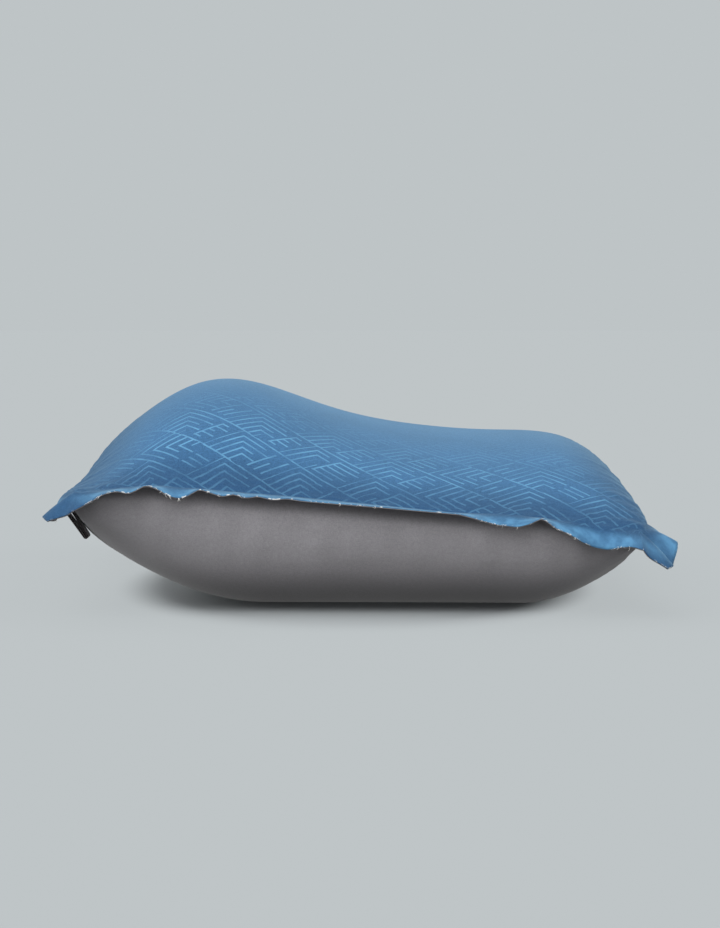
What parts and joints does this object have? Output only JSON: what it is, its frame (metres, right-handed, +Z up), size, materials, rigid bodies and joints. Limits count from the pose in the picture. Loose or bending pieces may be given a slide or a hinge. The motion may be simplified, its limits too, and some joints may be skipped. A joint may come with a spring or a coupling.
{
  "type": "inflatable camp pillow",
  "caption": "Inflatable camp pillow with a raised neck lobe, a welded flange all round, a two-stage air valve and webbing loops.",
  "frame": {"origin": "on the ground under the middle of the pillow, at the bottom centre of its box", "axes": "+X across the pillow from the raised neck lobe to the low side, +Y along its length towards the valve's end, +Z up"},
  "size_m": [0.3222, 0.432, 0.1176],
  "materials": {
    "printed_knit": "matte stretch knit with a printed line pattern",
    "grey_fabric": "matte plain woven fabric",
    "film": "translucent elastomer film, matt",
    "moulded_valve": "satin moulded elastomer",
    "soft_disc": "soft translucent elastomer",
    "brown_webbing": "matte narrow woven tape"
  },
  "bodies": {
    "air_chamber": {"upper_cover": "printed_knit", "lower_cover": "grey_fabric", "middle_baffle": "film", "rear_baffle": "film", "valve_seat": "moulded_valve"},
    "plug": {"deflate_plug": "moulded_valve", "disc_cage": "moulded_valve"},
    "cap": {"inflate_cap": "moulded_valve"},
    "disc": {"check_disc": "soft_disc"},
    "near_webbing": {"near_loop": "brown_webbing"},
    "far_webbing": {"far_loop": "brown_webbing"}
  },
  "joints": [
    {"name": "plug_hinge", "type": "hinge", "parent": "air_chamber", "child": "plug", "pos_m": [0.03233, 0.1806, 0.0249], "axis": [0, 0.7491, 0.6625], "range_deg": [0, 130]},
    {"name": "cap_hinge", "type": "hinge", "parent": "plug", "child": "cap", "pos_m": [0.05171, 0.19227, 0.03132], "axis": [0.9989, 0.0317, -0.0359], "range_deg": [0, 130]},
    {"name": "disc_lift", "type": "slide", "parent": "plug", "child": "disc", "axis": [0.0479, -0.6617, 0.7482], "range_m": [0, 0.0012]},
    {"name": "near_loop_swing", "type": "hinge", "parent": "air_chamber", "child": "near_webbing", "pos_m": [-0.15174, -0.16, 0.05724], "axis": [0, 1, 0], "range_deg": [0, 60]},
    {"name": "far_loop_swing", "type": "hinge", "parent": "air_chamber", "child": "far_webbing", "pos_m": [-0.15174, 0.16, 0.05724], "axis": [0, 1, 0], "range_deg": [0, 60]}
  ]
}
